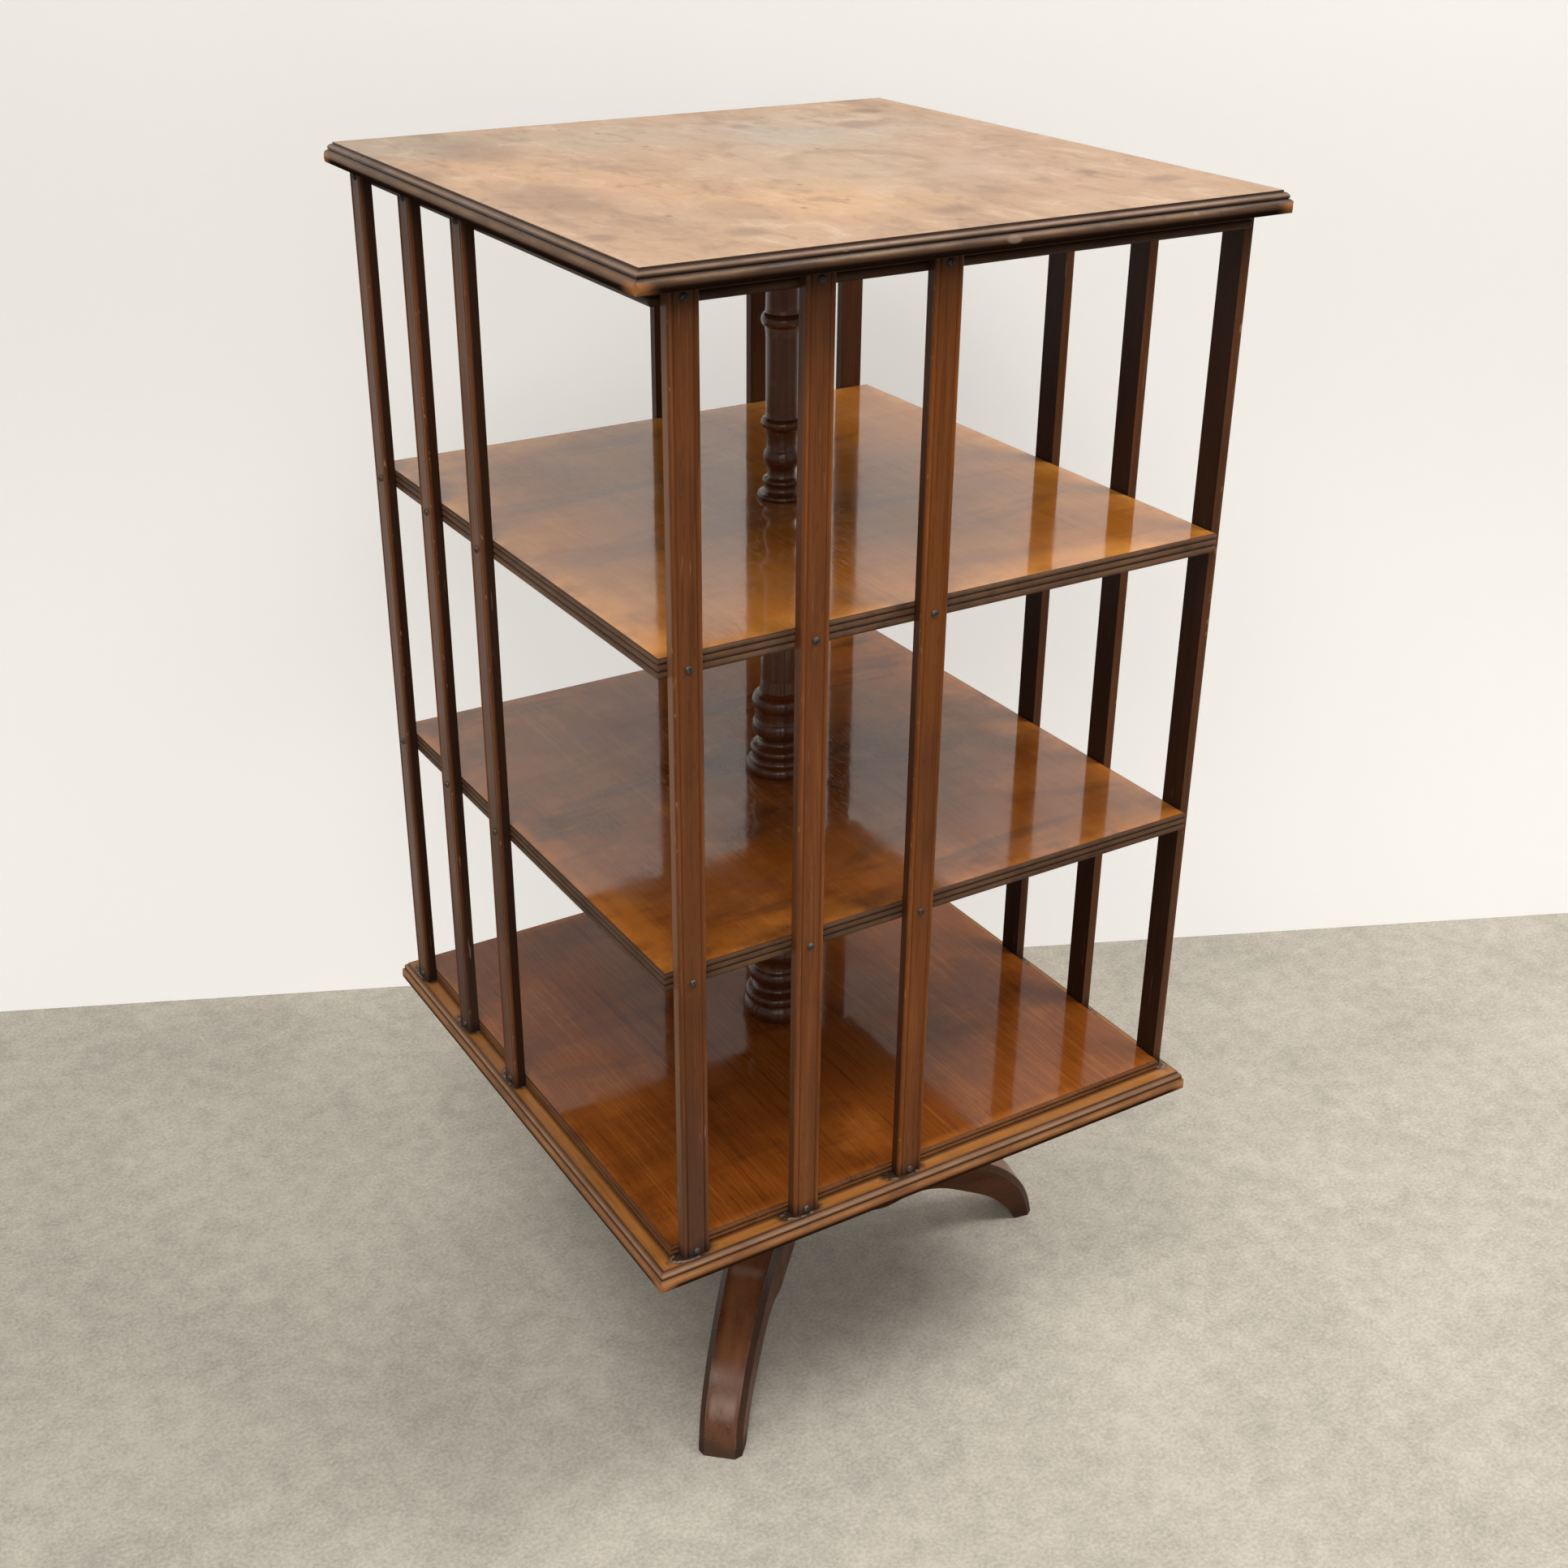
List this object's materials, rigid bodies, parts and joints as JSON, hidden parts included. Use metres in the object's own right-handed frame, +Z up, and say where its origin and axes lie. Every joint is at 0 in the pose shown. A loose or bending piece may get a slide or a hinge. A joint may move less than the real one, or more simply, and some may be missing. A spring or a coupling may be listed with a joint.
{
  "type": "revolving bookcase",
  "caption": "Square tiered bookcase with open shelves and side slats that turns on a central spindle above a tripod of arched legs.",
  "frame": {"origin": "on the spindle's axis at floor level, at the middle of the case's square plan", "axes": "+Z up along the spindle; -Y and -X out of two neighbouring faces of the case"},
  "size_m": [0.5088, 0.5088, 0.997],
  "materials": {
    "top_wood": "faded satin mahogany",
    "shelf_wood": "polished mahogany",
    "slat_wood": "dark satin mahogany",
    "turned_wood": "dark polished mahogany",
    "iron": "dark worn iron",
    "brass": "dull brass"
  },
  "bodies": {
    "stand": {"hub_pillar": "turned_wood", "leg_front": "turned_wood", "leg_right": "turned_wood", "leg_back": "turned_wood", "leg_plate": "iron", "leg_plate_screws": "iron", "spindle": "iron", "spindle_foot_washer": "iron", "spindle_foot_nut": "iron", "hub_plate": "iron", "hub_plate_screws": "iron", "thrust_ring": "brass", "spindle_top_washer": "iron", "spindle_top_nut": "iron"},
    "case": {"base_board": "shelf_wood", "base_plate": "iron", "base_plate_screws": "iron", "bottom_shelf": "shelf_wood", "bottom_shelf_screws": "iron", "column_lower": "turned_wood", "column_middle": "turned_wood", "column_upper": "turned_wood", "lower_bush": "brass", "shelf_lower": "shelf_wood", "shelf_upper": "shelf_wood", "slat_back_1": "slat_wood", "slat_back_2": "slat_wood", "slat_back_3": "slat_wood", "slat_front_1": "slat_wood", "slat_front_2": "slat_wood", "slat_front_3": "slat_wood", "slat_left_1": "slat_wood", "slat_left_2": "slat_wood", "slat_left_3": "slat_wood", "slat_right_1": "slat_wood", "slat_right_2": "slat_wood", "slat_right_3": "slat_wood", "slat_screws_bottom": "iron", "slat_screws_lower": "iron", "slat_screws_top": "iron", "slat_screws_upper": "iron", "top_board": "top_wood", "top_board_screws": "iron", "under_top": "slat_wood", "upper_bush": "brass"}
  },
  "joints": [
    {"name": "case_spin", "type": "hinge", "parent": "stand", "child": "case", "pos_m": [0, 0, 0.2507], "axis": [0, 0, 1], "continuous": true}
  ]
}
